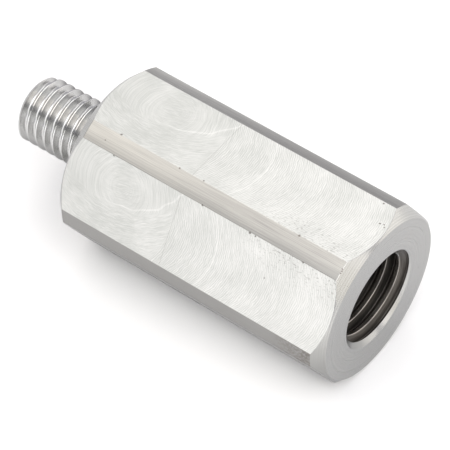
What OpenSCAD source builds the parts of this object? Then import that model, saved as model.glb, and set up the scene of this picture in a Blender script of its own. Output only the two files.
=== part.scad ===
// Hex adapter: a stud on one end and a tapped hole in the other, in one piece.
// It joins two thread sizes in line, and its six flats take a spanner.
// It is turned from round bar and the flats are milled after, so a strip of the
// bar's own round is left between each pair of flats.
// Lengths are in millimetres. The axis lies along X, with the origin at the middle
// of the shoulder, the stud towards -X and the tapped hole towards +X.
// The adapter lies on one flat.

/* [Body] */
// Width across a pair of flats, the spanner size
across_flats = 31.75; // [25:0.05:42]
// Depth that each flat is milled below the round of the bar
flat_depth = 1.525; // [0.5:0.005:2]
// Length of the body, from the shoulder to the end face
body_l = 57.15; // [45:0.05:120]
// Width of the chamfer round both ends of the bar, measured on the end face
end_chamfer = 1.9; // [0.5:0.05:3]
// Angle of both end chamfers, measured from the end face
chamfer_angle = 45; // [30:1:60]

/* [Stud] */
// Outside diameter of the stud's thread
stud_d = 12.7; // [9.5:0.05:20]
// Length of the stud, from the shoulder to the tip
stud_l = 18; // [10:0.1:40]
// Width of the relief groove between the thread and the shoulder
relief_w = 2.4; // [1.6:0.1:4]
// Depth of the relief groove below the outside of the thread
relief_depth = 1.3; // [0.9:0.05:2.2]
// Radius of the corners at the bottom of the relief groove
relief_corner_r = 0.6; // [0.2:0.05:0.75]
// Width of the chamfer round the tip, measured on the tip's face
tip_chamfer = 0.8; // [0.2:0.05:2]
// Angle of the tip's chamfer, measured from the tip's face
tip_angle = 45; // [30:1:60]

/* [Tapped hole] */
// Diameter of the drilled hole, the inside of its thread
hole_d = 16.3; // [10:0.05:22]
// Depth of the drilled hole at full diameter, from the end face
hole_depth = 34.9; // [15:0.1:44]
// Width of the countersink round the hole, measured on the end face
countersink = 1.45; // [0.5:0.05:3]
// Included angle of the countersink
countersink_angle = 90; // [60:1:120]
// Included angle of the drill's point at the bottom of the hole
drill_angle = 118; // [90:1:150]

/* [Hidden] */

bar_r = across_flats / 2 + flat_depth;
end_ring_r = bar_r - end_chamfer;
end_chamfer_l = end_chamfer * tan(chamfer_angle);
// Size across the corners of the hexagon that the flats lie on
across_corners = across_flats / cos(30);

stud_r = stud_d / 2;
tip_chamfer_l = tip_chamfer * tan(tip_angle);
relief_floor_r = stud_r - relief_depth;

hole_r = hole_d / 2;
mouth_r = hole_r + countersink;
countersink_l = countersink / tan(countersink_angle / 2);
drill_point_l = hole_r / tan(drill_angle / 2);

// How far a cutter runs out past the metal
runout = 1;
steel = [0.80, 0.80, 0.78];
$fn = 96;

// Half section of the bar as it is turned, with the radius along X and the axis along Y
module turned_section() {
    polygon([
        [0, -stud_l],
        [stud_r - tip_chamfer, -stud_l],
        [stud_r, -stud_l + tip_chamfer_l],
        [stud_r, 0],
        [end_ring_r, 0],
        [bar_r, end_chamfer_l],
        [bar_r, body_l - end_chamfer_l],
        [end_ring_r, body_l],
        [0, body_l]
    ]);
}

// Section of the relief groove that is cut where the stud meets the shoulder
module relief_section() {
    for (y = [-relief_corner_r, relief_corner_r - relief_w])
        translate([relief_floor_r + relief_corner_r, y])
            circle(r = relief_corner_r);
    translate([relief_floor_r, relief_corner_r - relief_w])
        square([relief_depth, relief_w - 2 * relief_corner_r]);
    translate([relief_floor_r + relief_corner_r, -relief_w])
        square([relief_depth - relief_corner_r + runout, relief_w]);
}

// Half section of the hole: the drill's point, the bore and the countersink
module hole_section() {
    polygon([
        [0, body_l - hole_depth - drill_point_l],
        [hole_r, body_l - hole_depth],
        [hole_r, body_l - countersink_l],
        [mouth_r, body_l],
        [mouth_r, body_l + runout],
        [0, body_l + runout]
    ]);
}

// The hexagonal prism that is left when the six flats are milled
module milled_flats() {
    translate([0, 0, -stud_l - runout])
        rotate([0, 0, 90])
            cylinder(d = across_corners, h = stud_l + body_l + 2 * runout, $fn = 6);
}

// The whole adapter, laid along X on one flat
module hex_adapter() {
    color(steel)
        rotate([0, 90, 0])
            difference() {
                intersection() {
                    rotate_extrude()
                        turned_section();
                    milled_flats();
                }
                rotate_extrude()
                    relief_section();
                rotate_extrude()
                    hole_section();
            }
}

hex_adapter();
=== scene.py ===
"""Hex adapter in bare stainless steel: a threaded stud on one end and a tapped hole in the other.

The adapter is turned from round bar, its six flats are milled after, and both threads are cut.
Sizes are in millimetres, angles in degrees, and the mesh is made in metres in the frame of the
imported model: the axis lies along X, the origin is in the shoulder, and +Z is up. An angle round
the axis is counted from +Y towards +Z.
"""

import logging
import math
from abc import ABC, abstractmethod
from collections.abc import Mapping, Sequence
from dataclasses import dataclass, field
from enum import IntEnum
from typing import Any

import bmesh
import bpy
import numpy as np
from mathutils import Matrix, Vector


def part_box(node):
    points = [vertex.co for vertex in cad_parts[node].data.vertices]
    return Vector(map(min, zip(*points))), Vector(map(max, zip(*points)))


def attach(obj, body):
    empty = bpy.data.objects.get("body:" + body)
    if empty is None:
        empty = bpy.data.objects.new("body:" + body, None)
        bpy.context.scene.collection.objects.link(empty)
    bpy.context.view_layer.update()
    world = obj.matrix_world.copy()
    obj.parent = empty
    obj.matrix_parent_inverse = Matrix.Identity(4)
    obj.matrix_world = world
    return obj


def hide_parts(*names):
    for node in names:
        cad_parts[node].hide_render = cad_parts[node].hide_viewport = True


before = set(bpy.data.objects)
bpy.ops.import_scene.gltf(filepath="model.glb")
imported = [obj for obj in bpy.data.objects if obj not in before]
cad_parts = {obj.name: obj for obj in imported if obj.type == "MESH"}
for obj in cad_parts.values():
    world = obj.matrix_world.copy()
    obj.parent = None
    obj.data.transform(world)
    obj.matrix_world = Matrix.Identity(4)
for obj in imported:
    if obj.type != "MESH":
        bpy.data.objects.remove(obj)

LOG = logging.getLogger("hex_adapter")
NODE = "hex_adapter"
PIECE = "hex_adapter_steel"
BODY = "root"
MM = 0.001
FULL_TURN = 360.0
FLATS = 6
FLAT_STEP = FULL_TURN / FLATS
THREAD_ANGLE = 60.0
# Width that a thread's groove gains on both flanks together for each unit of depth
FLANK = 2 * math.tan(math.radians(THREAD_ANGLE / 2))
# Length of the lines beside a corner that are there only to have it rounded
ASIDE = 1.0
# Points of a groove that are nearer than this, in metres, become one
MERGE = 1e-8
AXIS = (1.0, 0.0, 0.0)
OFF_AXIS = (0.0, 1.0, 1.0)
ON_FLAT = (1.0, 1.0, 0.0)
# Lays a helix that rises along Z so that it rises along X
ALONG_X = (math.pi / 2, 0.0, math.pi / 2)
QUARTER_TURN = 0.25
SRGB_KNEE = 0.04045
SRGB_SLOPE = 12.92
SRGB_LIFT = 0.055
SRGB_POWER = 2.4
# Blender's names for the kinds of node that are used most
MATH = "ShaderNodeMath"
VECTOR = "ShaderNodeVectorMath"
COMBINE = "ShaderNodeCombineXYZ"
SEPARATE = "ShaderNodeSeparateXYZ"
NOISE = "ShaderNodeTexNoise"
RANGE = "ShaderNodeMapRange"
MIX = "ShaderNodeMix"
# A noise's values lie about this one
NOISE_MIDDLE = 0.5
LINE_SPREAD = 0.2
LINE_DETAIL = 3.0
LINE_ROUGHNESS = 0.7
# How far the noise of one flat lies from the next one's, so that their marks differ
SEED_STEP = 7.3
SENSOR = 36.0
# Watts of a square metre of panel for a radiance of one
PANEL_POWER = 4.0

Tree = bpy.types.NodeTree
Socket = bpy.types.NodeSocket

# Nicks on the flats and lands: place along the axis, angle round it and size
SIDE_NICKS = (
    (52.9, 67.0, 0.22),
    (54.9, 79.9, 0.2),
    (55.6, 79.2, 0.2),
    (55.9, 80.9, 0.16),
    (42.8, 146.4, 0.16),
    (7.9, 113.6, 0.26),
    (20.6, 114.2, 0.26),
    (25.6, 113.8, 0.22),
    (45.6, 114.2, 0.3),
    (8.7, 126.3, 0.2),
    (27.7, 126.0, 0.24),
    (37.7, 126.2, 0.3),
    (38.9, 126.4, 0.22),
    (48.6, 126.0, 0.22),
    (5.9, 121.0, 0.16),
    (55.2, 118.6, 0.2),
    (55.3, 119.8, 0.2),
    (55.3, 121.0, 0.16),
    (54.6, 176.5, 0.3),
)
# Nicks on the end face: place in millimetres and size
END_NICKS = (
    (57.15, 11.9, -3.2, 0.2),
    (57.15, -3.4, 10.6, 0.14),
)


class Region(IntEnum):
    """Which finish a face of the adapter has, in the order of the piece's material slots."""

    MILLED = 0
    BAR = 1
    TURNED = 2
    STUD = 3
    BORE = 4
    CHAMFER = 5


def linear(colour: str) -> tuple[float, float, float, float]:
    """Turn an sRGB hex colour into linear light.

    Args:
        colour: Six hex digits after a hash sign.

    Returns:
        Linear red, green, blue and full alpha.
    """
    parts = [int(colour[i : i + 2], 16) / 255 for i in (1, 3, 5)]
    lit = [
        p / SRGB_SLOPE if p <= SRGB_KNEE else ((p + SRGB_LIFT) / (1 + SRGB_LIFT)) ** SRGB_POWER
        for p in parts
    ]
    return lit[0], lit[1], lit[2], 1.0


def add_node(
    tree: Tree,
    kind: str,
    links: Mapping[int | str, Any] | None = None,
    **settings: Any,
) -> bpy.types.Node:
    """Add a node to a tree with its settings, and set or link its inputs.

    Args:
        tree: Tree that gets the node.
        kind: Blender's name of the node's class.
        links: Input name or number to a value, or to the output socket that feeds it.
        **settings: Properties of the node itself.

    Returns:
        The new node.
    """
    node = tree.nodes.new(kind)
    for key, value in settings.items():
        setattr(node, key, value)
    for key, value in (links or {}).items():
        if isinstance(value, Socket):
            tree.links.new(value, node.inputs[key])
        else:
            node.inputs[key].default_value = value
    return node


def soft_min(a: np.ndarray | float, b: np.ndarray | float, blend: float) -> np.ndarray:
    """Take the lesser of two heights, rounded off where they cross.

    Args:
        a: First height.
        b: Second height.
        blend: How far apart the two are where the rounding starts.

    Returns:
        The lesser height, never above either.
    """
    near = np.maximum(blend - np.abs(np.subtract(a, b)), 0.0)
    return np.minimum(a, b) - near**2 / (4 * blend)


def eased(
    points: Sequence[tuple[float, float]], ease: float, steps: int = 3
) -> list[tuple[float, float]]:
    """Round the inner corners of an open line of points.

    Args:
        points: Points of the line; its two ends stay as they are.
        ease: Length taken off each side of a corner.
        steps: Number of edges across a rounded corner.

    Returns:
        The line with each inner corner replaced by a short curve.
    """
    line = [points[0]]
    for before, here, after in zip(points, points[1:], points[2:]):
        corner = Vector(here)
        a = corner + (Vector(before) - corner).normalized() * ease
        b = corner + (Vector(after) - corner).normalized() * ease
        for t in np.linspace(0, 1, steps + 1):
            p = a.lerp(corner, t).lerp(corner.lerp(b, t), t)
            line.append((p.x, p.y))
    line.append(points[-1])
    return line


def make_object(name: str, mesh: bpy.types.Mesh) -> bpy.types.Object:
    """Put a mesh in the scene as an object at the origin.

    Args:
        name: Name of the object.
        mesh: Its mesh.

    Returns:
        The new object.
    """
    made = bpy.data.objects.new(name, mesh)
    bpy.context.scene.collection.objects.link(made)
    return made


def settle(obj: bpy.types.Object) -> None:
    """Turn what an object's modifiers make into its own plain mesh.

    Args:
        obj: Object whose modifiers are used up.
    """
    graph = bpy.context.evaluated_depsgraph_get()
    mesh = bpy.data.meshes.new_from_object(obj.evaluated_get(graph), depsgraph=graph)
    obj.modifiers.clear()
    obj.data = mesh
    mesh.name = obj.name


@dataclass
class RingSkin:
    """Rings of points round the X axis, joined from one pole to the other into a closed skin."""

    angles: np.ndarray
    rings: list[tuple[np.ndarray, np.ndarray]] = field(default_factory=list)
    regions: list[np.ndarray] = field(default_factory=list)

    def add(self, x: np.ndarray | float, r: np.ndarray | float, region: np.ndarray | int) -> None:
        """Add a ring after the last one.

        Args:
            x: Place of the ring's points along the axis.
            r: Distance of the ring's points from the axis.
            region: Finish of the faces between this ring and the one before.
        """
        whole = np.ones_like(self.angles)
        self.rings.append((whole * x, whole * r))
        self.regions.append((whole * region).astype(int))

    def mesh(self, name: str, first_pole: float, last_pole: float) -> bpy.types.Mesh:
        """Join the rings, and close both ends at a point on the axis.

        Args:
            name: Name of the mesh.
            first_pole: Place along the axis of the point before the first ring.
            last_pole: Place along the axis of the point after the last ring.

        Returns:
            The closed mesh, in metres, with the finish of each face as its material index.
        """
        turn = np.radians(self.angles)
        points = [np.stack([x, r * np.cos(turn), r * np.sin(turn)], -1) for x, r in self.rings]
        count = len(turn)
        here = np.arange(count)
        after = (here + 1) % count
        faces: list[tuple[int, ...]] = []
        regions: list[int] = []
        for ring in range(1, len(self.rings)):
            low, high = (ring - 1) * count, ring * count
            faces += [(low + i, low + j, high + j, high + i) for i, j in zip(here, after)]
            regions += list(self.regions[ring])
        last = (len(self.rings) - 1) * count
        poles = len(self.rings) * count
        faces += [(poles, j, i) for i, j in zip(here, after)]
        regions += list(self.regions[0])
        faces += [(poles + 1, last + i, last + j) for i, j in zip(here, after)]
        regions += list(self.regions[-1])
        ends = np.array([[first_pole, 0, 0], [last_pole, 0, 0]])
        spots = np.concatenate([*points, ends]) * MM
        mesh = bpy.data.meshes.new(name)
        mesh.from_pydata(spots.tolist(), [], [tuple(map(int, f)) for f in faces])
        mesh.polygons.foreach_set("material_index", np.array(regions, dtype=np.int32))
        mesh.update()
        return mesh


@dataclass
class HelicalGroove:
    """The helical cut that leaves a 60 degree thread, as a solid to take away.

    Its section has three pairs of points, from the root out to beyond the crest: the root, the
    brow where the flank turns over to the crest, and the mouth, clear of the metal.

    Attributes:
        name: Name of the solid.
        pitch: Distance between two turns.
        start: Place along the axis where the groove starts.
        start_angle: Angle round the axis where it starts.
        turns: Number of turns.
        root_r: Radius of the root.
        root_width: Width of the root.
        brow_r: Radius of the brow.
        brow_width: Width between the two brows.
        mouth_r: Radius of the mouth.
        mouth_width: Width of the mouth.
        root_ease: Radius of the rounding at the root.
        brow_ease: Radius of the rounding at the brow.
        steps: Number of edges in a turn.
        ease_steps: Number of points across a rounded corner.
    """

    name: str
    pitch: float
    start: float
    start_angle: float
    turns: float
    root_r: float
    root_width: float
    brow_r: float
    brow_width: float
    mouth_r: float
    mouth_width: float
    root_ease: float
    brow_ease: float
    steps: int = 120
    ease_steps: int = 4

    def inputs(self, finish: bpy.types.Material) -> dict[str, tuple[str, Any]]:
        """Give the named inputs of the tree.

        Args:
            finish: Material of the faces that the cut leaves.

        Returns:
            Input name to its socket type and value, in metres and radians.
        """
        real = "NodeSocketFloat"
        return {
            "Pitch": (real, self.pitch * MM),
            "Turns": (real, self.turns),
            "Steps per Turn": ("NodeSocketInt", self.steps),
            "Start": (real, self.start * MM),
            "Start Angle": (real, math.radians(self.start_angle)),
            "Root Radius": (real, self.root_r * MM),
            "Root Width": (real, self.root_width * MM),
            "Brow Radius": (real, self.brow_r * MM),
            "Brow Width": (real, self.brow_width * MM),
            "Mouth Radius": (real, self.mouth_r * MM),
            "Mouth Width": (real, self.mouth_width * MM),
            "Root Ease": (real, self.root_ease * MM),
            "Brow Ease": (real, self.brow_ease * MM),
            "Finish": ("NodeSocketMaterial", finish),
        }

    def section(self, tree: Tree, size: Any) -> Socket:
        """Add the groove's section, with X away from the axis from the root, and Y along the axis.

        Args:
            tree: Tree that gets the nodes.
            size: Outputs of the tree's group input, by name.

        Returns:
            The section as a closed curve, with its root and its brow rounded.
        """
        index = add_node(tree, "GeometryNodeInputIndex").outputs[0]
        spots = add_node(tree, "GeometryNodeIndexSwitch", {"Index": index}, data_type="VECTOR")
        eases = add_node(tree, "GeometryNodeIndexSwitch", {"Index": index}, data_type="FLOAT")
        levels = ("Root", "Brow", "Mouth")
        half = 0.5
        corners = [(level, -half) for level in levels] + [(level, half) for level in reversed(levels)]
        for number, (level, side) in enumerate(corners):
            if number >= len(spots.index_switch_items):
                spots.index_switch_items.new()
                eases.index_switch_items.new()
            away = add_node(
                tree,
                MATH,
                {0: size[f"{level} Radius"], 1: size["Root Radius"]},
                operation="SUBTRACT",
            )
            along = add_node(tree, MATH, {0: size[f"{level} Width"], 1: side}, operation="MULTIPLY")
            spot = add_node(tree, COMBINE, {0: away.outputs[0], 1: along.outputs[0]})
            tree.links.new(spot.outputs[0], spots.inputs[number + 1])
            if level != "Mouth":
                tree.links.new(size[f"{level} Ease"], eases.inputs[number + 1])
        ring = add_node(tree, "GeometryNodeMeshCircle", {"Vertices": len(corners)}).outputs[0]
        loop = add_node(tree, "GeometryNodeMeshToCurve", {0: ring}).outputs[0]
        placed = add_node(
            tree, "GeometryNodeSetPosition", {"Geometry": loop, "Position": spots.outputs[0]}
        ).outputs[0]
        return add_node(
            tree,
            "GeometryNodeFilletCurve",
            {"Curve": placed, "Count": self.ease_steps, "Radius": eases.outputs[0], "Limit Radius": True},
            mode="POLY",
        ).outputs[0]

    def tree(self, inputs: Mapping[str, tuple[str, Any]]) -> Tree:
        """Build the tree that sweeps the groove's section along a helix.

        Args:
            inputs: Named inputs, as inputs() gives them.

        Returns:
            The tree, with its interface.
        """
        tree = bpy.data.node_groups.new(self.name, "GeometryNodeTree")
        tree.interface.new_socket("Geometry", in_out="OUTPUT", socket_type="NodeSocketGeometry")
        for name, (kind, _) in inputs.items():
            tree.interface.new_socket(name, in_out="INPUT", socket_type=kind)
        size = add_node(tree, "NodeGroupInput").outputs
        rise = add_node(
            tree, MATH, {0: size["Pitch"], 1: size["Turns"]}, operation="MULTIPLY"
        ).outputs[0]
        helix = add_node(
            tree,
            "GeometryNodeCurveSpiral",
            {
                "Resolution": size["Steps per Turn"],
                "Rotations": size["Turns"],
                "Start Radius": size["Root Radius"],
                "End Radius": size["Root Radius"],
                "Height": rise,
                "Reverse": True,
            },
        ).outputs[0]
        upright = add_node(tree, "GeometryNodeSetCurveNormal", {"Curve": helix}, mode="Z_UP").outputs[0]
        section = self.section(tree, size)
        swept = add_node(
            tree, "GeometryNodeCurveToMesh", {"Curve": upright, "Profile Curve": section, "Fill Caps": True}
        ).outputs[0]
        phase = add_node(tree, COMBINE, {2: size["Start Angle"]}).outputs[0]
        turned = add_node(tree, "GeometryNodeTransform", {"Geometry": swept, "Rotation": phase}).outputs[0]
        place = add_node(tree, COMBINE, {0: size["Start"]}).outputs[0]
        laid = add_node(
            tree,
            "GeometryNodeTransform",
            {
                "Geometry": turned,
                "Translation": place,
                "Rotation": ALONG_X,
            },
        ).outputs[0]
        plain = add_node(tree, "GeometryNodeRealizeInstances", {"Geometry": laid}).outputs[0]
        dressed = add_node(
            tree, "GeometryNodeSetMaterial", {"Geometry": plain, "Material": size["Finish"]}
        ).outputs[0]
        add_node(tree, "NodeGroupOutput", {"Geometry": dressed})
        return tree

    def build(self, finish: bpy.types.Material) -> bpy.types.Object:
        """Make the groove as a closed mesh, for a cut.

        Args:
            finish: Material of the faces that the cut leaves.

        Returns:
            The object that holds the groove.
        """
        tool = make_object(self.name, bpy.data.meshes.new(self.name))
        inputs = self.inputs(finish)
        tree = self.tree(inputs)
        sweep = tool.modifiers.new(self.name, "NODES")
        sweep.node_group = tree
        for item in tree.interface.items_tree:
            if item.in_out == "INPUT":
                sweep[item.identifier] = inputs[item.name][1]
        settle(tool)
        shell = bmesh.new()
        shell.from_mesh(tool.data)
        bmesh.ops.remove_doubles(shell, verts=shell.verts, dist=MERGE)
        bmesh.ops.recalc_face_normals(shell, faces=shell.faces)
        shell.to_mesh(tool.data)
        shell.free()
        return tool


@dataclass
class HexBody:
    """The length of round bar with six flats milled on it and a chamfer turned on each end.

    Attributes:
        across_flats: Width across a pair of flats.
        bar_r: Radius of the bar.
        length: Length from the shoulder to the end face.
        end_chamfer: Width of each end chamfer, at 45 degrees.
        flat_edge: Rounding where a flat meets a land.
        end_edge: Rounding at both edges of a chamfer.
        flat_columns: Number of faces across a flat.
        land_columns: Number of faces across half a land.
        edge_steps: Number of points across a rounded edge.
    """

    across_flats: float = 31.75
    bar_r: float = 17.4
    length: float = 57.15
    end_chamfer: float = 1.9
    flat_edge: float = 0.04
    end_edge: float = 0.08
    flat_columns: int = 24
    land_columns: int = 3
    edge_steps: int = 5

    @property
    def ring_r(self) -> float:
        """Radius of the flat ring that each chamfer leaves."""
        return self.bar_r - self.end_chamfer

    @property
    def edge_angle(self) -> float:
        """Angle from the middle of a flat to its edge."""
        return math.degrees(math.acos(self.across_flats / 2 / self.bar_r))

    def columns(self) -> np.ndarray:
        """Space the mesh's columns round the axis, closer together at the edges of the flats.

        Returns:
            Angle of each column.
        """
        half, edge = FLAT_STEP / 2, self.edge_angle
        spread = math.degrees(self.flat_edge / (self.bar_r * math.tan(math.radians(edge))))
        rounded = np.linspace(-spread, spread, self.edge_steps)
        land = np.linspace(half, edge + spread, self.land_columns, endpoint=False)
        flat = np.linspace(-edge + spread, edge - spread, self.flat_columns + 1)[1:-1]
        one = np.concatenate([-land, -edge + rounded, flat, edge + rounded, land[:0:-1]])
        return np.concatenate([one + half + FLAT_STEP * i for i in range(FLATS)])

    def on_side(self, x: float, angle: float) -> tuple[float, float, float]:
        """Find a point on the flats and lands.

        Args:
            x: Place along the axis.
            angle: Angle round the axis.

        Returns:
            The point.
        """
        offset = math.radians(angle % FLAT_STEP - FLAT_STEP / 2)
        r = min(self.bar_r, self.across_flats / 2 / math.cos(offset))
        return x, r * math.cos(math.radians(angle)), r * math.sin(math.radians(angle))

    def add_to(self, skin: RingSkin) -> None:
        """Add the chamfers, flats and lands between the shoulder and the end face.

        Args:
            skin: Skin that has the stud already.
        """
        offset = np.mod(skin.angles, FLAT_STEP) - FLAT_STEP / 2
        middle = np.mod(np.roll(skin.angles, -1) - skin.angles, FULL_TURN) / 2 + skin.angles
        off_flat = np.abs(np.mod(middle, FLAT_STEP) - FLAT_STEP / 2)
        sides = np.where(off_flat < self.edge_angle, Region.MILLED, Region.BAR)
        flat_r = self.across_flats / 2 / np.cos(np.radians(offset))
        edge_r = soft_min(flat_r, self.bar_r, self.flat_edge)
        meet = edge_r - self.ring_r
        blend = self.end_edge
        steps = np.linspace(-1, 1, self.edge_steps) * blend
        corner = [(0, self.ring_r - ASIDE), (0, self.ring_r), (ASIDE, self.ring_r + ASIDE)]
        for x, r in eased(corner, blend)[1:-1]:
            skin.add(x, r, Region.TURNED)
        for step in steps:
            x = meet + step
            region = Region.CHAMFER if step <= 0 else sides
            skin.add(x, soft_min(edge_r, self.ring_r + x, blend), region)
        for step in steps[::-1]:
            x = meet + step
            region = sides if step >= 0 else Region.CHAMFER
            skin.add(self.length - x, soft_min(edge_r, self.ring_r + x, blend), region)
        end = self.length
        corner = [(end - ASIDE, self.ring_r + ASIDE), (end, self.ring_r), (end, self.ring_r - ASIDE)]
        for place, (x, r) in enumerate(eased(corner, blend)[1:-1]):
            skin.add(x, r, Region.TURNED if place else Region.CHAMFER)


@dataclass
class Stud:
    """The threaded stud, with a chamfered tip and a relief groove at the shoulder.

    Attributes:
        radius: Radius of the crests.
        length: Length from the shoulder to the tip.
        pitch: Distance between two turns of the thread, 13 to an inch.
        root_r: Radius of the roots.
        tip_chamfer: Width of the tip's chamfer, at 45 degrees.
        relief_w: Width of the relief groove.
        relief_r: Radius of the relief groove's floor.
        relief_corner: Rounding of the relief groove's corners.
        relief_steps: Number of edges across such a corner.
        edge: Rounding of the tip's edges.
        groove_share: Share of the pitch that the thread's groove takes, at the crests.
        brow: Depth below the crest where the flank turns over to it.
        overshoot: How far the groove's solid stands out of the metal.
        crest_gap: Width between two turns of the groove's solid, out there.
        root_ease: Rounding at the root.
        brow_ease: Rounding at the brow.
        crest_x: Place of one crest along the axis.
        crest_angle: Angle round the axis at which that crest is there.
    """

    radius: float = 6.35
    length: float = 18.0
    pitch: float = 25.4 / 13
    root_r: float = 5.28
    tip_chamfer: float = 0.8
    relief_w: float = 2.4
    relief_r: float = 5.05
    relief_corner: float = 0.6
    relief_steps: int = 5
    edge: float = 0.06
    groove_share: float = 7 / 8
    brow: float = 0.03
    overshoot: float = 0.05
    crest_gap: float = 0.12
    root_ease: float = 0.42
    brow_ease: float = 0.05
    crest_x: float = -9.68
    crest_angle: float = 110.0

    def add_to(self, skin: RingSkin) -> None:
        """Add the tip, the blank of the thread and the relief groove, up to the shoulder.

        Args:
            skin: Empty skin.
        """
        tip, full = -self.length, self.radius
        corners = [
            (tip, 0.0),
            (tip, full - self.tip_chamfer),
            (tip + self.tip_chamfer, full),
            (-self.relief_w, full),
        ]
        for x, r in eased(corners, self.edge)[1:]:
            on_thread = x > tip + self.tip_chamfer + self.edge
            skin.add(x, r, Region.STUD if on_thread else Region.TURNED)
        floor = [
            (-self.relief_w, full),
            (-self.relief_w, self.relief_r),
            (0.0, self.relief_r),
            (0.0, full),
        ]
        for x, r in eased(floor, self.relief_corner, self.relief_steps)[1:-1]:
            skin.add(x, r, Region.TURNED)

    def groove(self) -> HelicalGroove:
        """Give the thread's groove, from off the tip to inside the relief groove.

        Returns:
            The groove.
        """
        brow_r = self.radius - self.brow
        brow_width = self.pitch * self.groove_share - FLANK * self.brow
        middle = self.crest_x + self.pitch / 2
        start = middle - math.ceil((middle + self.length + self.pitch) / self.pitch) * self.pitch
        return HelicalGroove(
            name="stud_groove",
            pitch=self.pitch,
            start=start,
            start_angle=self.crest_angle,
            turns=(-self.relief_w / 2 - start) / self.pitch,
            root_r=self.root_r,
            root_width=brow_width - FLANK * (brow_r - self.root_r),
            brow_r=brow_r,
            brow_width=brow_width,
            mouth_r=self.radius + self.overshoot,
            mouth_width=self.pitch - self.crest_gap,
            root_ease=self.root_ease,
            brow_ease=self.brow_ease,
        )


@dataclass
class TappedHole:
    """The blind tapped hole, with a countersink at its mouth and the drill's point at its end.

    Attributes:
        radius: Radius of the drilled hole, and so of the crests.
        depth: Depth of the drilled hole at full radius.
        tapped: Depth of the thread.
        pitch: Distance between two turns of the thread.
        root_r: Radius of the roots.
        countersink: Width of the countersink, at 45 degrees.
        drill_angle: Angle of the drill's point.
        edge: Rounding of the countersink's edges.
        groove_share: Share of the pitch that the thread's groove takes, at the crests.
        brow: Depth into the metal from the crest where the flank turns over to it.
        overshoot: How far the groove's solid stands out of the metal.
        crest_gap: Width between two turns of the groove's solid, out there.
        root_ease: Rounding at the root.
        brow_ease: Rounding at the brow.
        crest_depth: Depth of one crest below the end face.
        crest_angle: Angle round the axis at which that crest is there.
    """

    radius: float = 8.15
    depth: float = 34.9
    tapped: float = 29.0
    pitch: float = 2.54
    root_r: float = 9.525
    countersink: float = 1.45
    drill_angle: float = 118.0
    edge: float = 0.06
    groove_share: float = 3 / 4
    brow: float = 0.08
    overshoot: float = 0.1
    crest_gap: float = 0.3
    root_ease: float = 0.2
    brow_ease: float = 0.14
    crest_depth: float = 2.3
    crest_angle: float = 300.0

    def add_to(self, skin: RingSkin, end: float) -> float:
        """Add the end face, the countersink and the drilled hole.

        Args:
            skin: Skin that has the body already.
            end: Place of the end face along the axis.

        Returns:
            Place of the drill's point along the axis.
        """
        mouth = self.radius + self.countersink
        point = end - self.depth - self.radius / math.tan(math.radians(self.drill_angle / 2))
        corners = [
            (end, mouth + ASIDE),
            (end, mouth),
            (end - self.countersink, self.radius),
            (end - self.depth, self.radius),
        ]
        for x, r in eased(corners, self.edge)[1:]:
            region = Region.CHAMFER if x < end - self.edge else Region.TURNED
            in_bore = x < end - self.countersink - self.edge
            skin.add(x, r, Region.BORE if in_bore else region)
        return point

    def groove(self, end: float) -> HelicalGroove:
        """Give the thread's groove, from its last turn in the hole to off the end face.

        Args:
            end: Place of the end face along the axis.

        Returns:
            The groove.
        """
        brow_r = self.radius + self.brow
        brow_width = self.pitch * self.groove_share - FLANK * self.brow
        middle = end - self.crest_depth + self.pitch / 2
        start = middle - round(self.tapped / self.pitch) * self.pitch
        return HelicalGroove(
            name="hole_groove",
            pitch=self.pitch,
            start=start,
            start_angle=self.crest_angle,
            turns=(end + self.pitch - start) / self.pitch,
            root_r=self.root_r,
            root_width=brow_width - FLANK * (self.root_r - brow_r),
            brow_r=brow_r,
            brow_width=brow_width,
            mouth_r=self.radius - self.overshoot,
            mouth_width=self.pitch - self.crest_gap,
            root_ease=self.root_ease,
            brow_ease=self.brow_ease,
        )


@dataclass(frozen=True)
class AxisPlace:
    """Outputs in a material's tree that place a shaded point about the axis, in millimetres."""

    spot: Socket
    x: Socket
    r: Socket
    turn: Socket

    @classmethod
    def add_to(cls, tree: Tree) -> "AxisPlace":
        """Add the nodes that work the place out from the object's own coordinates.

        Args:
            tree: Tree of the material.

        Returns:
            The point, its place along the axis, its distance from it and its angle in radians.
        """
        own = add_node(tree, "ShaderNodeTexCoord").outputs["Object"]
        spot = add_node(tree, VECTOR, {0: own, "Scale": 1 / MM}, operation="SCALE").outputs[0]
        x, y, z = add_node(tree, SEPARATE, {0: spot}).outputs
        flat = add_node(tree, VECTOR, {0: spot, 1: OFF_AXIS}, operation="MULTIPLY").outputs[0]
        r = add_node(tree, VECTOR, {0: flat}, operation="LENGTH").outputs["Value"]
        turn = add_node(tree, MATH, {0: z, 1: y}, operation="ARCTAN2").outputs[0]
        return cls(spot, x, r, turn)

    def from_middle(self, tree: Tree, first: float) -> tuple[Socket, Socket]:
        """Split the turn round the axis into the six flats, or into the six lands.

        Args:
            tree: Tree of the material.
            first: Angle of the middle of one flat or land, in degrees.

        Returns:
            Angle from the middle of the nearest one, in radians, and that one's number.
        """
        step = math.radians(FLAT_STEP)
        low = step / 2 - math.radians(first)
        whole = add_node(tree, MATH, {0: self.turn, 1: low}, operation="ADD").outputs[0]
        share = add_node(tree, MATH, {0: whole, 1: step}, operation="DIVIDE").outputs[0]
        number = add_node(tree, MATH, {0: share}, operation="FLOOR").outputs[0]
        within = add_node(tree, MATH, {0: whole, 1: step, 2: 0.0}, operation="WRAP").outputs[0]
        return add_node(tree, MATH, {0: within, 1: step / 2}, operation="SUBTRACT").outputs[0], number


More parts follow.
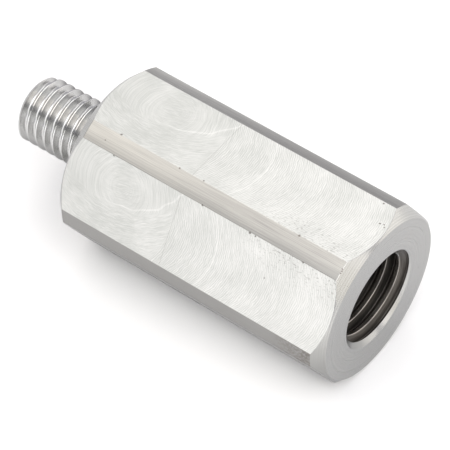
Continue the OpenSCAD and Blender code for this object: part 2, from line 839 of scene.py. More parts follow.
@dataclass(frozen=True)
class SteelFinish(ABC):
    """Bare austenitic stainless steel, as one way of working it leaves it.

    Attributes:
        name: Name of the material.
        dark: Colour in the low places of the marks.
        light: Colour on the high places of the marks.
        shiny: Roughness on the high places.
        dull: Roughness in the low places.
        relief: Depth of the marks, in millimetres.
        spacing: Distance between two marks, in millimetres.
        length: Length of a mark, in millimetres.
        flaw: Colour of a nick or of dirt.
        flaw_edge: How far a nick's outline strays, in millimetres.
        nicks: Place and size of each nick, in millimetres.
        stretch: How far a highlight is drawn out along the axis, from 0 to 1.
        edge: Tint of what is reflected at a glancing angle.
        shaded_side: Angle round the axis of the side that gets painted shade.
        side_shade: Share of the marks' brightness that the painted shade takes away on that side.
        side_shade_from: Cosine of the angle from the middle of the painted shade to where it starts.
        side_shade_full: Cosine of the angle from the middle of the painted shade to where it is full.
    """

    name: str
    dark: str
    light: str
    shiny: float
    dull: float
    relief: float
    spacing: float
    length: float
    flaw: str = "#7E7A76"
    flaw_edge: float = 0.3
    nicks: tuple[tuple[float, float, float, float], ...] = ()
    stretch: float = 0.0
    edge: str = "#E4E4E6"
    shaded_side: float = 195.0
    side_shade: float = 0.0
    side_shade_from: float = 0.5
    side_shade_full: float = 0.9

    def lines(
        self,
        tree: Tree,
        across: Socket,
        along: Socket | float,
        seed: Socket | float = 0.0,
        spread: float = LINE_SPREAD,
    ) -> Socket:
        """Draw the fine uneven lines that a tool leaves.

        Args:
            tree: Tree of the material.
            across: Distance across the lines, in millimetres.
            along: Distance along the lines, in millimetres.
            seed: Number that tells one face's lines from another's.
            spread: How far from the middle the noise reaches full dark and light; less is stronger.

        Returns:
            Height of the lines, from 0 to 1.
        """
        a = add_node(tree, MATH, {0: across, 1: 1 / self.spacing}, operation="MULTIPLY").outputs[0]
        b = add_node(tree, MATH, {0: along, 1: 1 / self.length}, operation="MULTIPLY").outputs[0]
        c = add_node(tree, MATH, {0: seed, 1: SEED_STEP}, operation="MULTIPLY").outputs[0]
        place = add_node(tree, COMBINE, {0: a, 1: b, 2: c}).outputs[0]
        grain = add_node(
            tree,
            NOISE,
            {"Vector": place, "Scale": 1.0, "Detail": LINE_DETAIL, "Roughness": LINE_ROUGHNESS},
        ).outputs[0]
        return add_node(
            tree,
            RANGE,
            {"Value": grain, "From Min": NOISE_MIDDLE - spread, "From Max": NOISE_MIDDLE + spread},
        ).outputs[0]

    def under(self, tree: Tree, at: AxisPlace) -> Socket:
        """Tell how near a point is to the middle of the side that gets painted shade.

        Args:
            tree: Tree of the material.
            at: Place of the shaded point.

        Returns:
            How far the painted shade reaches the point, from 0 to 1.
        """
        middle = math.radians(self.shaded_side)
        off = add_node(tree, MATH, {0: at.turn, 1: middle}, operation="SUBTRACT").outputs[0]
        near = add_node(tree, MATH, {0: off}, operation="COSINE").outputs[0]
        return add_node(
            tree, RANGE, {"Value": near, "From Min": self.side_shade_from, "From Max": self.side_shade_full}
        ).outputs[0]

    def paint_side_shade(self, tree: Tree, at: AxisPlace, height: Socket) -> Socket:
        """Paint shade on one side by lowering the marks there, which darkens and dulls them.

        Args:
            tree: Tree of the material.
            at: Place of the shaded point.
            height: Height of the marks.

        Returns:
            Height of the marks with the painted shade over them.
        """
        # Painted shade: the marks are lowered, and so darker and duller, on one side
        most = add_node(tree, MATH, {0: height, 1: self.side_shade}, operation="MULTIPLY").outputs[0]
        near = self.under(tree, at)
        lost = add_node(tree, MATH, {0: most, 1: near}, operation="MULTIPLY").outputs[0]
        return add_node(tree, MATH, {0: height, 1: lost}, operation="SUBTRACT").outputs[0]

    @abstractmethod
    def marks(self, tree: Tree, at: AxisPlace) -> Socket:
        """Draw the tool's marks.

        Args:
            tree: Tree of the material.
            at: Place of the shaded point.

        Returns:
            Height of the marks, from 0, dark and dull, to 1, light and shiny.
        """

    def flaws(self, tree: Tree, at: AxisPlace) -> Socket | None:
        """Draw the dark nicks, each with a ragged outline.

        Args:
            tree: Tree of the material.
            at: Place of the shaded point.

        Returns:
            How far each point is dark, from 0 to 1, or nothing where the finish has no nicks.
        """
        edge = self.flaw_edge
        shake = add_node(tree, NOISE, {"Vector": at.spot, "Scale": 1 / edge}).outputs["Color"]
        ragged = add_node(
            tree, VECTOR, {0: shake, 1: (edge,) * 3, 2: at.spot}, operation="MULTIPLY_ADD"
        ).outputs[0]
        total = None
        for x, y, z, size in self.nicks:
            middle = (x + edge / 2, y + edge / 2, z + edge / 2)
            gap = add_node(tree, VECTOR, {0: ragged, 1: middle}, operation="DISTANCE").outputs["Value"]
            nick = add_node(
                tree,
                RANGE,
                {"Value": gap, "From Min": size / 2, "From Max": size, "To Min": 1.0, "To Max": 0.0},
            ).outputs[0]
            if total is not None:
                nick = add_node(tree, MATH, {0: total, 1: nick}, operation="MAXIMUM").outputs[0]
            total = nick
        return total

    def material(self) -> bpy.types.Material:
        """Make the finish's material.

        Returns:
            The material.
        """
        made = bpy.data.materials.new(self.name)
        made.use_nodes = True
        tree = made.node_tree
        tree.nodes.clear()
        at = AxisPlace.add_to(tree)
        height = self.marks(tree, at)
        flaw = self.flaws(tree, at)
        colour = add_node(
            tree, MIX, {0: height, 6: linear(self.dark), 7: linear(self.light)}, data_type="RGBA"
        ).outputs[2]
        if flaw is not None:
            colour = add_node(
                tree, MIX, {0: flaw, 6: colour, 7: linear(self.flaw)}, data_type="RGBA"
            ).outputs[2]
        gloss = add_node(
            tree, RANGE, {"Value": height, "To Min": self.dull, "To Max": self.shiny}
        ).outputs[0]
        bump = add_node(tree, "ShaderNodeBump", {"Height": height, "Distance": self.relief * MM}).outputs[0]
        steel = add_node(
            tree,
            "ShaderNodeBsdfPrincipled",
            {
                "Base Color": colour,
                "Metallic": 1.0,
                "Roughness": gloss,
                "Specular Tint": linear(self.edge),
                "Normal": bump,
            },
        )
        if self.stretch:
            # Lines cut round the axis spread a highlight along the axis, and little round it.
            around = add_node(
                tree, VECTOR, {0: AXIS, 1: at.spot}, operation="CROSS_PRODUCT"
            ).outputs[0]
            tree.links.new(around, steel.inputs["Tangent"])
            steel.inputs["Anisotropic"].default_value = self.stretch
            steel.inputs["Anisotropic Rotation"].default_value = QUARTER_TURN
        add_node(tree, "ShaderNodeOutputMaterial", {"Surface": steel.outputs[0]})
        return made


@dataclass(frozen=True)
class MilledFinish(SteelFinish):
    """Flats cut with an end mill: pale satin arcs, with a swirl where the cutter came down.

    Places on a flat are along the axis and across it from its middle line, in millimetres.

    Attributes:
        cutter_r: Radius of the cutter, and so of its arcs.
        swirl: Middle of the swirl.
        swirl_clear: Radius within which the swirl's lines give way to the sweep's.
        sweep: Middle of the wide arcs beside the swirl.
        sweep_r: Radius from which those arcs lie over the swirl.
        feed_from: Place from which the arcs of the feed lie over the rest.
        feed_spread: Spread of the noise in the arcs that are torn.
        feed_pitch: Distance between two even arcs.
        feed_flat: Height on the wave of the even arcs at which they are cut off flat.
        feed_wander: Distance over which the even arcs change course.
        feed_stray: How far the even arcs are moved by that.
        feed_share: Share of the even arcs among the torn ones.
        turn_over: Width of the change from one set of lines to the next.
        stroke: Half width of a bright stroke.
        stroke_gain: Brightness of a stroke.
        stroke_fade: Length along the axis over which a stroke comes up.
        dwell: Place of the stroke among the arcs of the feed.
        stop_x: Place of the line where the feed stopped.
        stop_w: Width of that line.
        stop_dark: How dark that line is.
        chatter_x: Place along the axis from which the cutter chattered, and the length to full chatter.
        chatter_s: The same, across the flat.
        chatter_size: Size of a speck.
        chatter_long: How many times longer a speck is along the axis.
        chatter_noise: Noise at which a speck starts and is full.
        chatter_dark: How dark a full speck is.
        wander: Distance over which the swirl and the sweep change course.
        stray: How far they are moved by that.
        patch: Size of the cloudy patches.
        patch_gain: How far a patch is lighter or darker.
        patch_spread: Spread of the patches' noise.
        tone_x: Places along the axis between which the flat grows lighter.
        tone_gain: How far it is lighter or darker at those two places.
    """

    cutter_r: float = 12.5
    swirl: tuple[float, float] = (13.0, -1.5)
    swirl_clear: float = 6.0
    sweep: tuple[float, float] = (10.5, -13.9)
    sweep_r: float = 15.7
    feed_from: float = 22.5
    feed_spread: float = 0.1
    feed_pitch: float = 0.36
    feed_flat: float = 0.7
    feed_wander: float = 1.3
    feed_stray: float = 0.7
    feed_share: float = 0.5
    turn_over: float = 1.5
    stroke: float = 0.16
    stroke_gain: float = 0.3
    stroke_fade: float = 4.0
    dwell: float = 32.8
    stop_x: float = 23.3
    stop_w: float = 0.12
    stop_dark: float = 0.26
    chatter_x: tuple[float, float] = (33.0, 12.0)
    chatter_s: tuple[float, float] = (1.0, 6.0)
    chatter_size: float = 0.26
    chatter_long: float = 2.0
    chatter_noise: tuple[float, float] = (0.585, 0.72)
    chatter_dark: float = 0.7
    wander: float = 4.0
    stray: float = 1.4
    patch: float = 6.0
    patch_gain: float = 0.15
    patch_spread: float = 0.2
    tone_x: tuple[float, float] = (12.0, 38.0)
    tone_gain: tuple[float, float] = (-0.25, 0.05)

    def across_flat(self, tree: Tree, at: AxisPlace) -> tuple[Socket, Socket]:
        """Place a point across its flat.

        Args:
            tree: Tree of the material.
            at: Place of the shaded point.

        Returns:
            Distance from the middle line of the nearest flat, and that flat's number.
        """
        angle, number = at.from_middle(tree, FLAT_STEP / 2)
        sine = add_node(tree, MATH, {0: angle}, operation="SINE").outputs[0]
        return add_node(tree, MATH, {0: at.r, 1: sine}, operation="MULTIPLY").outputs[0], number

    def feed_lines(
        self, tree: Tree, feed: Socket, s: Socket, place: Socket, number: Socket
    ) -> Socket:
        """Draw the cutter's arcs at an even feed, broken up where it tore the steel.

        Args:
            tree: Tree of the material.
            feed: Distance along the feed, in millimetres.
            s: Distance from the middle line of the flat, in millimetres.
            place: Place on the flat, with the flat's number as its third part.
            number: Number of the flat.

        Returns:
            Height of the arcs, from 0 to 1.
        """
        torn = self.lines(tree, feed, s, number, self.feed_spread)
        shake = add_node(tree, NOISE, {"Vector": place, "Scale": 1 / self.feed_wander}).outputs[0]
        moved = add_node(
            tree, MATH, {0: shake, 1: self.feed_stray, 2: feed}, operation="MULTIPLY_ADD"
        ).outputs[0]
        per_turn = math.tau / self.feed_pitch
        phase = add_node(tree, MATH, {0: moved, 1: per_turn}, operation="MULTIPLY").outputs[0]
        wave = add_node(tree, MATH, {0: phase}, operation="SINE").outputs[0]
        even = add_node(
            tree, RANGE, {"Value": wave, "From Min": -self.feed_flat, "From Max": self.feed_flat}
        ).outputs[0]
        return add_node(tree, MIX, {0: self.feed_share, 2: torn, 3: even}, data_type="FLOAT").outputs[0]

    def marks(self, tree: Tree, at: AxisPlace) -> Socket:
        """Draw the swirl, the sweep below it and the arcs of the feed towards the tapped end.

        Args:
            tree: Tree of the material.
            at: Place of the shaded point.

        Returns:
            Height of the marks, from 0, dark and dull, to 1, light and shiny.
        """
        s, number = self.across_flat(tree, at)
        place = add_node(tree, COMBINE, {0: at.x, 1: s, 2: number}).outputs[0]
        shake = add_node(
            tree, NOISE, {"Vector": place, "Scale": 1 / self.wander, "Detail": 1.0}
        ).outputs["Color"]
        strayed = add_node(
            tree, VECTOR, {0: shake, 1: (self.stray,) * 3, 2: place}, operation="MULTIPLY_ADD"
        ).outputs[0]
        level = add_node(tree, VECTOR, {0: strayed, 1: ON_FLAT}, operation="MULTIPLY").outputs[0]
        rings = [
            add_node(tree, VECTOR, {0: level, 1: (*middle, 0.0)}, operation="DISTANCE").outputs["Value"]
            for middle in (self.swirl, self.sweep)
        ]
        square = add_node(tree, MATH, {0: s, 1: s}, operation="MULTIPLY").outputs[0]
        left = add_node(tree, MATH, {0: self.cutter_r**2, 1: square}, operation="SUBTRACT").outputs[0]
        reach = add_node(tree, MATH, {0: left}, operation="SQRT").outputs[0]
        back = add_node(tree, MATH, {0: at.x, 1: reach}, operation="SUBTRACT").outputs[0]
        feed = add_node(tree, MATH, {0: back, 1: self.cutter_r}, operation="ADD").outputs[0]
        swirl, sweep = (self.lines(tree, ring, at.x, number) for ring in rings)
        arcs = self.feed_lines(tree, feed, s, place, number)
        clear = add_node(tree, RANGE, {"Value": rings[0], "From Max": self.swirl_clear}).outputs[0]
        height = add_node(tree, MIX, {0: clear, 2: sweep, 3: swirl}, data_type="FLOAT").outputs[0]
        for across, start, drawn in ((rings[1], self.sweep_r, sweep), (feed, self.feed_from, arcs)):
            there = add_node(
                tree,
                RANGE,
                {"Value": across, "From Min": start, "From Max": start + self.turn_over},
                interpolation_type="SMOOTHSTEP",
            ).outputs[0]
            height = add_node(tree, MIX, {0: there, 2: height, 3: drawn}, data_type="FLOAT").outputs[0]
        # Where the cutter stood still for a moment it left one brighter stroke.
        fade = add_node(
            tree,
            RANGE,
            {
                "Value": at.x,
                "From Min": self.swirl[0] - self.stroke_fade,
                "From Max": self.swirl[0],
                "To Max": self.stroke_gain,
            },
        ).outputs[0]
        for across, start in ((rings[1], self.sweep_r), (feed, self.dwell)):
            gap = add_node(tree, MATH, {0: across, 1: start, 2: self.stroke}, operation="COMPARE").outputs[0]
            height = add_node(tree, MATH, {0: gap, 1: fade, 2: height}, operation="MULTIPLY_ADD").outputs[0]
        cloud = add_node(tree, NOISE, {"Vector": place, "Scale": 1 / self.patch}).outputs[0]
        drift = add_node(
            tree,
            RANGE,
            {
                "Value": cloud,
                "From Min": NOISE_MIDDLE - self.patch_spread,
                "From Max": NOISE_MIDDLE + self.patch_spread,
                "To Min": -self.patch_gain,
                "To Max": self.patch_gain,
            },
        ).outputs[0]
        height = add_node(tree, MATH, {0: height, 1: drift}, operation="ADD").outputs[0]
        tone = add_node(
            tree,
            RANGE,
            {
                "Value": at.x,
                "From Min": self.tone_x[0],
                "From Max": self.tone_x[1],
                "To Min": self.tone_gain[0],
                "To Max": self.tone_gain[1],
            },
        ).outputs[0]
        return add_node(tree, MATH, {0: height, 1: tone}, operation="ADD").outputs[0]

    def flaws(self, tree: Tree, at: AxisPlace) -> Socket | None:
        """Draw the line where the feed stopped, the specks where the cutter chattered, and the nicks.

        Args:
            tree: Tree of the material.
            at: Place of the shaded point.

        Returns:
            How far each point is dark, from 0 to 1.
        """
        s, number = self.across_flat(tree, at)
        on_line = add_node(
            tree, MATH, {0: at.x, 1: self.stop_x, 2: self.stop_w / 2}, operation="COMPARE"
        ).outputs[0]
        dark = add_node(tree, MATH, {0: on_line, 1: self.stop_dark}, operation="MULTIPLY").outputs[0]
        # The chatter lies along the same land on both of its neighbours.
        odd = add_node(tree, MATH, {0: number, 1: 2.0}, operation="FLOORED_MODULO").outputs[0]
        side = add_node(tree, MATH, {0: odd, 1: 2.0, 2: -1.0}, operation="MULTIPLY_ADD").outputs[0]
        toward = add_node(tree, MATH, {0: s, 1: side}, operation="MULTIPLY").outputs[0]
        shape = (1 / self.chatter_long, 1.0, 1.0)
        long = add_node(tree, VECTOR, {0: at.spot, 1: shape}, operation="MULTIPLY").outputs[0]
        grain = add_node(
            tree, NOISE, {"Vector": long, "Scale": 1 / self.chatter_size, "Detail": 1.0}
        ).outputs[0]
        faint, full = self.chatter_noise
        speck = add_node(
            tree, RANGE, {"Value": grain, "From Min": faint, "From Max": full, "To Max": self.chatter_dark}
        ).outputs[0]
        for along, (start, reach) in ((at.x, self.chatter_x), (toward, self.chatter_s)):
            near = add_node(
                tree, RANGE, {"Value": along, "From Min": start, "From Max": start + reach}
            ).outputs[0]
            speck = add_node(tree, MATH, {0: speck, 1: near}, operation="MULTIPLY").outputs[0]
        nicks = super().flaws(tree, at)
        for more in (dark, nicks):
            if more is not None:
                speck = add_node(tree, MATH, {0: speck, 1: more}, operation="MAXIMUM").outputs[0]
        return speck


@dataclass(frozen=True)
class DrawnFinish(SteelFinish):
    """The round of the bar as it was drawn: streaks along the bar, warmer towards the stud.

    Attributes:
        warm_to: Place along the axis where the warmer tone ends.
        warmth: How far the tone is warmer at the shoulder.
        grime: How dark the grime is.
        grime_size: Size of a grain of it, in millimetres.
        grime_noise: Noise at which it starts and is full.
        grime_x: Places along the axis where it starts and is full.
    """

    warm_to: float = 40.0
    warmth: float = 0.35
    grime: float = 1.0
    grime_size: float = 0.5
    grime_noise: tuple[float, float] = (0.36, 0.6)
    grime_x: tuple[float, float] = (47.0, 53.0)

    def marks(self, tree: Tree, at: AxisPlace) -> Socket:
        """Draw the streaks along the bar.

        Args:
            tree: Tree of the material.
            at: Place of the shaded point.

        Returns:
            Height of the marks, from 0, dark and dull, to 1, light and shiny.
        """
        angle, number = at.from_middle(tree, 0.0)
        across = add_node(tree, MATH, {0: at.r, 1: angle}, operation="MULTIPLY").outputs[0]
        streaks = self.lines(tree, across, at.x, number)
        warm = add_node(
            tree,
            RANGE,
            {"Value": at.x, "From Min": 0.0, "From Max": self.warm_to, "To Min": self.warmth, "To Max": 0.0},
            interpolation_type="SMOOTHSTEP",
        ).outputs[0]
        height = add_node(
            tree, MATH, {0: streaks, 1: 1 - self.warmth, 2: warm}, operation="MULTIPLY_ADD"
        ).outputs[0]
        # Painted shade dulls the streaks on the lower side of the bar
        return self.paint_side_shade(tree, at, height)

    def flaws(self, tree: Tree, at: AxisPlace) -> Socket | None:
        """Draw the grime at the end of the side with painted shade, with the nicks.

        Args:
            tree: Tree of the material.
            at: Place of the shaded point.

        Returns:
            How far each point is dark, from 0 to 1.
        """
        grain = add_node(
            tree, NOISE, {"Vector": at.spot, "Scale": 1 / self.grime_size, "Detail": 2.0}
        ).outputs[0]
        faint, full = self.grime_noise
        grime = add_node(
            tree, RANGE, {"Value": grain, "From Min": faint, "From Max": full, "To Max": self.grime}
        ).outputs[0]
        start, whole = self.grime_x
        end = add_node(tree, RANGE, {"Value": at.x, "From Min": start, "From Max": whole}).outputs[0]
        for near in (end, self.under(tree, at)):
            grime = add_node(tree, MATH, {0: grime, 1: near}, operation="MULTIPLY").outputs[0]
        nicks = super().flaws(tree, at)
        if nicks is None:
            return grime
        return add_node(tree, MATH, {0: grime, 1: nicks}, operation="MAXIMUM").outputs[0]


@dataclass(frozen=True)
class TurnedFinish(SteelFinish):
    """Faces turned in a lathe: fine rings about the axis.

    Attributes:
        along: How much a step along the axis counts beside one away from it.
        spread: Spread of the rings' noise.
    """

    along: float = 0.3
    spread: float = LINE_SPREAD

    def marks(self, tree: Tree, at: AxisPlace) -> Socket:
        """Draw the rings, spaced by the radius, and a little by the place along the axis.

        Args:
            tree: Tree of the material.
            at: Place of the shaded point.

        Returns:
            Height of the marks, from 0, dark and dull, to 1, light and shiny.
        """
        across = add_node(
            tree, MATH, {0: at.x, 1: self.along, 2: at.r}, operation="MULTIPLY_ADD"
        ).outputs[0]
        # Painted shade dulls the rings on one side, where the finish has it
        return self.paint_side_shade(tree, at, self.lines(tree, across, 0.0, spread=self.spread))


@dataclass(frozen=True)
class ThreadFinish(SteelFinish):
    """A cut thread: bright on its crests and darker on its flanks, with fine lines along the cut.

    Attributes:
        crest_r: Radius of the crests.
        root_r: Radius of the roots.
        shade: Share of the brightness that comes from the painted highlights on the crests and roots.
        root_highlight: How bright the painted highlight on the roots is beside the one on the crests.
        crest_rise: Shares of the way from root to crest where the painted crest highlight starts and is
            full.
        root_rise: Shares of that way where the painted root highlight is full and where it ends.
    """

    crest_r: float = 0.0
    root_r: float = 0.0
    shade: float = 0.75
    root_highlight: float = 0.0
    crest_rise: tuple[float, float] = (0.9, 0.97)
    root_rise: tuple[float, float] = (0.1, 0.6)

    def marks(self, tree: Tree, at: AxisPlace) -> Socket:
        """Draw the fine lines of the cut, and paint highlights on the crests and the roots.

        Args:
            tree: Tree of the material.
            at: Place of the shaded point.

        Returns:
            Height of the marks, from 0, dark and dull, to 1, light and shiny.
        """
        across = add_node(tree, MATH, {0: at.x, 1: at.r}, operation="ADD").outputs[0]
        _, y, z = add_node(tree, SEPARATE, {0: at.spot}).outputs
        # The side and the height together run smoothly round the axis, which the angle doesn't.
        height = add_node(tree, MATH, {0: z, 1: self.length * SEED_STEP}, operation="DIVIDE").outputs[0]
        cut = self.lines(tree, across, y, height)
        rise = add_node(
            tree, RANGE, {"Value": at.r, "From Min": self.root_r, "From Max": self.crest_r}
        ).outputs[0]
        # Painted highlight on the crests, and on the roots where the finish has it; the flanks stay darker
        low, high = self.crest_rise
        crest = add_node(
            tree, RANGE, {"Value": rise, "From Min": low, "From Max": high, "To Max": self.shade}
        ).outputs[0]
        low, high = self.root_rise
        lit = self.shade * self.root_highlight
        root = add_node(
            tree, RANGE, {"Value": rise, "From Min": low, "From Max": high, "To Min": lit, "To Max": 0.0}
        ).outputs[0]
        painted_light = add_node(tree, MATH, {0: crest, 1: root}, operation="MAXIMUM").outputs[0]
        rest = 1 - self.shade
        return add_node(tree, MATH, {0: cut, 1: rest, 2: painted_light}, operation="MULTIPLY_ADD").outputs[0]


@dataclass
class HexAdapter:
    """The whole adapter in one piece.

    Attributes:
        body: Body with the flats.
        stud: Threaded stud.
        hole: Tapped hole.
        crease: Angle between two faces past which their edge is sharp.
    """

    body: HexBody = field(default_factory=HexBody)
    stud: Stud = field(default_factory=Stud)
    hole: TappedHole = field(default_factory=TappedHole)
    crease: float = 25.0

    def finishes(self) -> dict[Region, bpy.types.Material]:
        """Make the material of each region.

        The marks of every finish are finer on real steel than the render can show, so their
        spacing here is as coarse as it needs to be to show.

        Returns:
            Region to its material.
        """
        stud, hole = self.stud, self.hole
        nicks = tuple((*self.body.on_side(x, angle), size) for x, angle, size in SIDE_NICKS)
        made = {
            # Stainless steel cut with an end mill: the eye sees a pale satin with bright arcs across it.
            # A real feed is about 0.1 mm a tooth; the arcs are drawn 0.36 mm apart.
            Region.MILLED: MilledFinish(
                name="milled_stainless_steel",
                dark="#BCBDB9",
                light="#DAD9D6",
                shiny=0.3,
                dull=0.4,
                relief=0.002,
                spacing=0.1,
                length=1.7,
                nicks=nicks,
                edge="#A6A6AC",
            ),
            # Stainless bar drawn through a die: the eye sees soft streaks along it, with painted shade
            # making it a dull grey below.
            # Real die lines are a few hundredths of a millimetre apart; they are drawn 0.1 mm apart.
            Region.BAR: DrawnFinish(
                name="drawn_stainless_bar",
                dark="#969593",
                light="#C1C0BB",
                shiny=0.28,
                dull=0.4,
                relief=0.002,
                spacing=0.1,
                length=12.0,
                nicks=nicks,
                side_shade=0.9,
            ),
            # Stainless steel faced in a lathe: the eye sees an even grey with faint rings.
            # A real feed is about 0.1 mm a turn; the rings are drawn 0.2 mm apart.
            Region.TURNED: TurnedFinish(
                name="turned_stainless_steel",
                dark="#9D9D9B",
                light="#B9B9B7",
                shiny=0.22,
                dull=0.3,
                relief=0.0015,
                spacing=0.2,
                length=3.0,
                nicks=nicks + END_NICKS,
            ),
            # Stainless steel chamfered in a lathe: the eye sees a brighter band with close rings.
            # A real feed is about 0.05 mm a turn; the rings are drawn 0.12 mm apart.
            Region.CHAMFER: TurnedFinish(
                name="turned_stainless_chamfer",
                dark="#989896",
                light="#D6D6D3",
                shiny=0.22,
                dull=0.3,
                relief=0.0015,
                spacing=0.12,
                length=3.0,
                nicks=nicks + END_NICKS,
                spread=0.5,
                # Painted shade dulls the rings on the lower front side
                shaded_side=215.0,
                side_shade=0.9,
            ),
            # Stainless thread cut with a die: the eye sees bright bands, dark where they face no light; its
            # crests and roots carry painted highlights.
            # Real lines of the cut are a few hundredths of a millimetre apart; they are drawn 0.12 mm apart.
            Region.STUD: ThreadFinish(
                name="cut_stainless_thread",
                dark="#C6C6C5",
                light="#DADAD9",
                shiny=0.18,
                dull=0.26,
                relief=0.001,
                spacing=0.12,
                length=12.0,
                crest_r=stud.radius,
                root_r=stud.root_r,
                root_highlight=0.5,
                stretch=0.6,
                edge="#505056",
            ),
            # Stainless thread cut with a tap: the eye sees light crests over dark, roughly torn flanks; the
            # crests carry a painted highlight, and the darker flanks and roots are partly oil residue,
            # partly painted shade.
            # Real lines of the cut are a few hundredths of a millimetre apart; they are drawn 0.34 mm apart.
            Region.BORE: ThreadFinish(
                name="tapped_stainless_bore",
                dark="#4B4742",
                light="#B0ABA5",
                shiny=0.26,
                dull=0.44,
                relief=0.004,
                spacing=0.34,
                length=5.0,
                crest_r=hole.radius,
                root_r=hole.root_r,
                stretch=0.6,
            ),
        }
        return {region: finish.material() for region, finish in made.items()}

    def build(self) -> bpy.types.Object:
        """Make the adapter's closed mesh, with both threads cut.

        Returns:
            The adapter's object.
        """
        skin = RingSkin(self.body.columns())
        self.stud.add_to(skin)
        self.body.add_to(skin)
        point = self.hole.add_to(skin, self.body.length)
        piece = make_object(PIECE, skin.mesh(PIECE, -self.stud.length, point))
        finishes = self.finishes()
        for region in Region:
            piece.data.materials.append(finishes[region])
        self.cut(piece, self.stud.groove().build(finishes[Region.STUD]))
        self.cut(piece, self.hole.groove(self.body.length).build(finishes[Region.BORE]))
        self.smooth(piece)
        return piece

    def cut(self, piece: bpy.types.Object, tool: bpy.types.Object) -> None:
        """Take a tool's solid away from the piece.

        Args:
            piece: The adapter.
            tool: Closed solid, removed after the cut.
        """
        taken = piece.modifiers.new(tool.name, "BOOLEAN")
        taken.operation = "DIFFERENCE"
        taken.solver = "MANIFOLD"
        taken.material_mode = "TRANSFER"
        taken.object = tool
        settle(piece)
        LOG.info("%s cut: %d faces left", tool.name, len(piece.data.polygons))
        mesh = tool.data
        bpy.data.objects.remove(tool)
        bpy.data.meshes.remove(mesh)

    def smooth(self, piece: bpy.types.Object) -> None:
        """Shade the curved faces smooth, and keep the flat ones flat up to their edges.

        Args:
            piece: The adapter.
        """
        piece.data.shade_smooth()
        piece.data.set_sharp_from_angle(angle=math.radians(self.crease))
        weighted = piece.modifiers.new("weighted", "WEIGHTED_NORMAL")
        weighted.mode = "FACE_AREA"
        weighted.keep_sharp = True
        settle(piece)


@dataclass(frozen=True)
class Panel:
    """A square soft panel that faces the adapter.

    Attributes:
        name: Name of the light.
        tint: Colour of the light.
        toward: Direction of the panel from the adapter.
        side: Length of the panel's side.
        bright: Radiance of the panel.
        away: Distance of the panel.
    """

    name: str
    tint: str
    toward: tuple[float, float, float]
    side: float
    bright: float
    away: float = 600.0

    def hang(self) -> None:
        """Add the panel's light to the scene."""
        made = bpy.data.lights.new(self.name, "AREA")
        made.color = linear(self.tint)[:3]
        made.shape = "SQUARE"
        made.size = self.side * MM
        made.energy = self.bright * PANEL_POWER * (self.side * MM) ** 2
        lamp = bpy.data.objects.new(self.name, made)
        bpy.context.scene.collection.objects.link(lamp)
        back = Vector(self.toward).normalized()
        lamp.location = back * self.away * MM
        lamp.rotation_mode = "QUATERNION"
        lamp.rotation_quaternion = back.to_track_quat("Z", "Y")


PANELS = (
    Panel("top_panel", "#FFFFFA", (-0.22, 0.52, 0.82), 480.0, 0.7),
    Panel("front_panel", "#FFFFFC", (-0.28, -0.94, 0.14), 480.0, 0.8),
    Panel("middle_panel", "#FFF8EC", (-0.40, -0.16, 0.90), 490.0, 0.85),
    Panel("right_panel", "#FFFAF2", (0.90, -0.10, 0.40), 480.0, 0.85),
    Panel("back_panel", "#FFFAF0", (0.65, 0.72, 0.25), 400.0, 0.75),
    Panel("camera_panel", "#FFFFFF", (0.40, -0.50, 0.77), 800.0, 1.1),
)


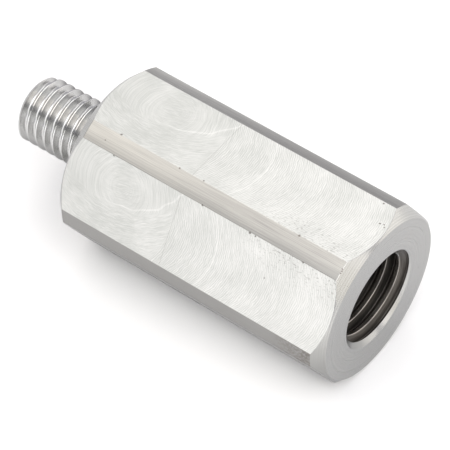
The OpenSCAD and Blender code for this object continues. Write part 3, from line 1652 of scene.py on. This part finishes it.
@dataclass
class Studio:
    """The pale floor, the soft light and the camera.

    Attributes:
        floor_z: Height of the floor, in metres.
        azimuth: Angle of the camera round the adapter.
        elevation: Angle of the camera above the floor.
        roll: Turn of the camera about its own line of sight.
        distance: Distance of the camera from its target.
        target: Point that the camera looks at.
        lens: Focal length.
        clip: Nearest and furthest distance that the camera sees, in metres.
        floor_half: Half the length of the floor's side.
        board: Colour of the floor.
        board_dull: Roughness of the floor.
        sky: Colour of the surround.
        surround: Radiance of the surround.
        gap: Angle above the horizon, in front, where the surround is dark.
        gap_edge: Angle over which the surround turns dark from below.
        gap_ramp: Sine of the angle above the gap at which the surround is full again.
        gap_side: Share of the way back or forward over which the gap ends at the sides.
    """

    floor_z: float
    azimuth: float = 38.544
    elevation: float = 50.300
    roll: float = 1.878
    distance: float = 467.76
    target: tuple[float, float, float] = (24.442, -0.181, -3.214)
    lens: float = 213.6
    clip: tuple[float, float] = (0.01, 10.0)
    floor_half: float = 2000.0
    board: str = "#FAFAFA"
    board_dull: float = 0.9
    sky: str = "#FAF9FF"
    surround: float = 0.69
    gap: float = 16.0
    gap_edge: float = 2.0
    gap_ramp: float = 0.8
    gap_side: float = 0.3

    def build(self) -> None:
        """Make the floor, the light and the camera."""
        self.floor()
        self.light()
        self.camera()

    def floor(self) -> None:
        """Lay the floor under the adapter."""
        half = self.floor_half * MM
        mesh = bpy.data.meshes.new("floor")
        corners = [(-half, -half), (half, -half), (half, half), (-half, half)]
        mesh.from_pydata([(x, y, self.floor_z) for x, y in corners], [], [(0, 1, 2, 3)])
        # White card with a matt coat: the eye sees an even pale ground.
        pale = bpy.data.materials.new("matt_white_board")
        pale.use_nodes = True
        tree = pale.node_tree
        tree.nodes.clear()
        board = add_node(
            tree,
            "ShaderNodeBsdfPrincipled",
            {"Base Color": linear(self.board), "Roughness": self.board_dull},
        )
        add_node(tree, "ShaderNodeOutputMaterial", {"Surface": board.outputs[0]})
        mesh.materials.append(pale)
        make_object("floor", mesh)

    def light(self) -> None:
        """Light the scene with a pale surround, dark over a strip in front, and with soft panels."""
        world = bpy.data.worlds.new("studio")
        bpy.context.scene.world = world
        world.use_nodes = True
        tree = world.node_tree
        tree.nodes.clear()
        way = add_node(tree, "ShaderNodeTexCoord").outputs["Generated"]
        rise = math.radians(self.gap)
        square = (0.0, math.sin(rise), math.cos(rise))
        above = add_node(tree, VECTOR, {0: way, 1: square}, operation="DOT_PRODUCT").outputs["Value"]
        back = add_node(tree, SEPARATE, {0: way}).outputs[1]
        edge = math.sin(math.radians(self.gap_edge))
        # Dark strip in front: sharp at its lower edge, soft above, and gone towards the back.
        share: Socket | float = 0.0
        for value, dark, light in (
            (above, edge, -edge),
            (above, edge, self.gap_ramp),
            (back, -self.gap_side, self.gap_side),
        ):
            lit = add_node(
                tree,
                RANGE,
                {"Value": value, "From Min": dark, "From Max": light},
                interpolation_type="SMOOTHSTEP",
            ).outputs[0]
            share = add_node(tree, MATH, {0: share, 1: lit}, operation="MAXIMUM").outputs[0]
        strength = add_node(tree, MATH, {0: share, 1: self.surround}, operation="MULTIPLY").outputs[0]
        glow = add_node(tree, "ShaderNodeBackground", {"Color": linear(self.sky), "Strength": strength})
        add_node(tree, "ShaderNodeOutputWorld", {"Surface": glow.outputs[0]})
        for panel in PANELS:
            panel.hang()
        bpy.context.scene.view_settings.view_transform = "Standard"

    def camera(self) -> None:
        """Set the camera at the photograph's angle."""
        a, e, roll = (math.radians(v) for v in (self.azimuth, self.elevation, self.roll))
        back = Vector((math.sin(a) * math.cos(e), -math.cos(a) * math.cos(e), math.sin(e)))
        right = Vector((math.cos(a), math.sin(a), 0.0))
        up = back.cross(right)
        level = Matrix((right, up, back)).transposed()
        made = bpy.data.cameras.new("camera")
        made.lens = self.lens
        made.sensor_width = SENSOR
        made.clip_start, made.clip_end = self.clip
        eye = bpy.data.objects.new("camera", made)
        bpy.context.scene.collection.objects.link(eye)
        turned = level @ Matrix.Rotation(-roll, 3, "Z")
        place = (Vector(self.target) + back * self.distance) * MM
        eye.matrix_world = Matrix.Translation(place) @ turned.to_4x4()
        bpy.context.scene.camera = eye


def main() -> None:
    """Build the adapter and its studio in order, and report each piece."""
    logging.basicConfig(level=logging.INFO, format="%(name)s: %(message)s")
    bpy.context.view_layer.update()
    low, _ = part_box(NODE)
    adapter = HexAdapter().build()
    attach(adapter, BODY)
    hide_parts(NODE)
    LOG.info("%s: %d faces", adapter.name, len(adapter.data.polygons))
    Studio(floor_z=low.z).build()
    LOG.info("studio: floor, light and camera")


if __name__ == "__main__":
    main()
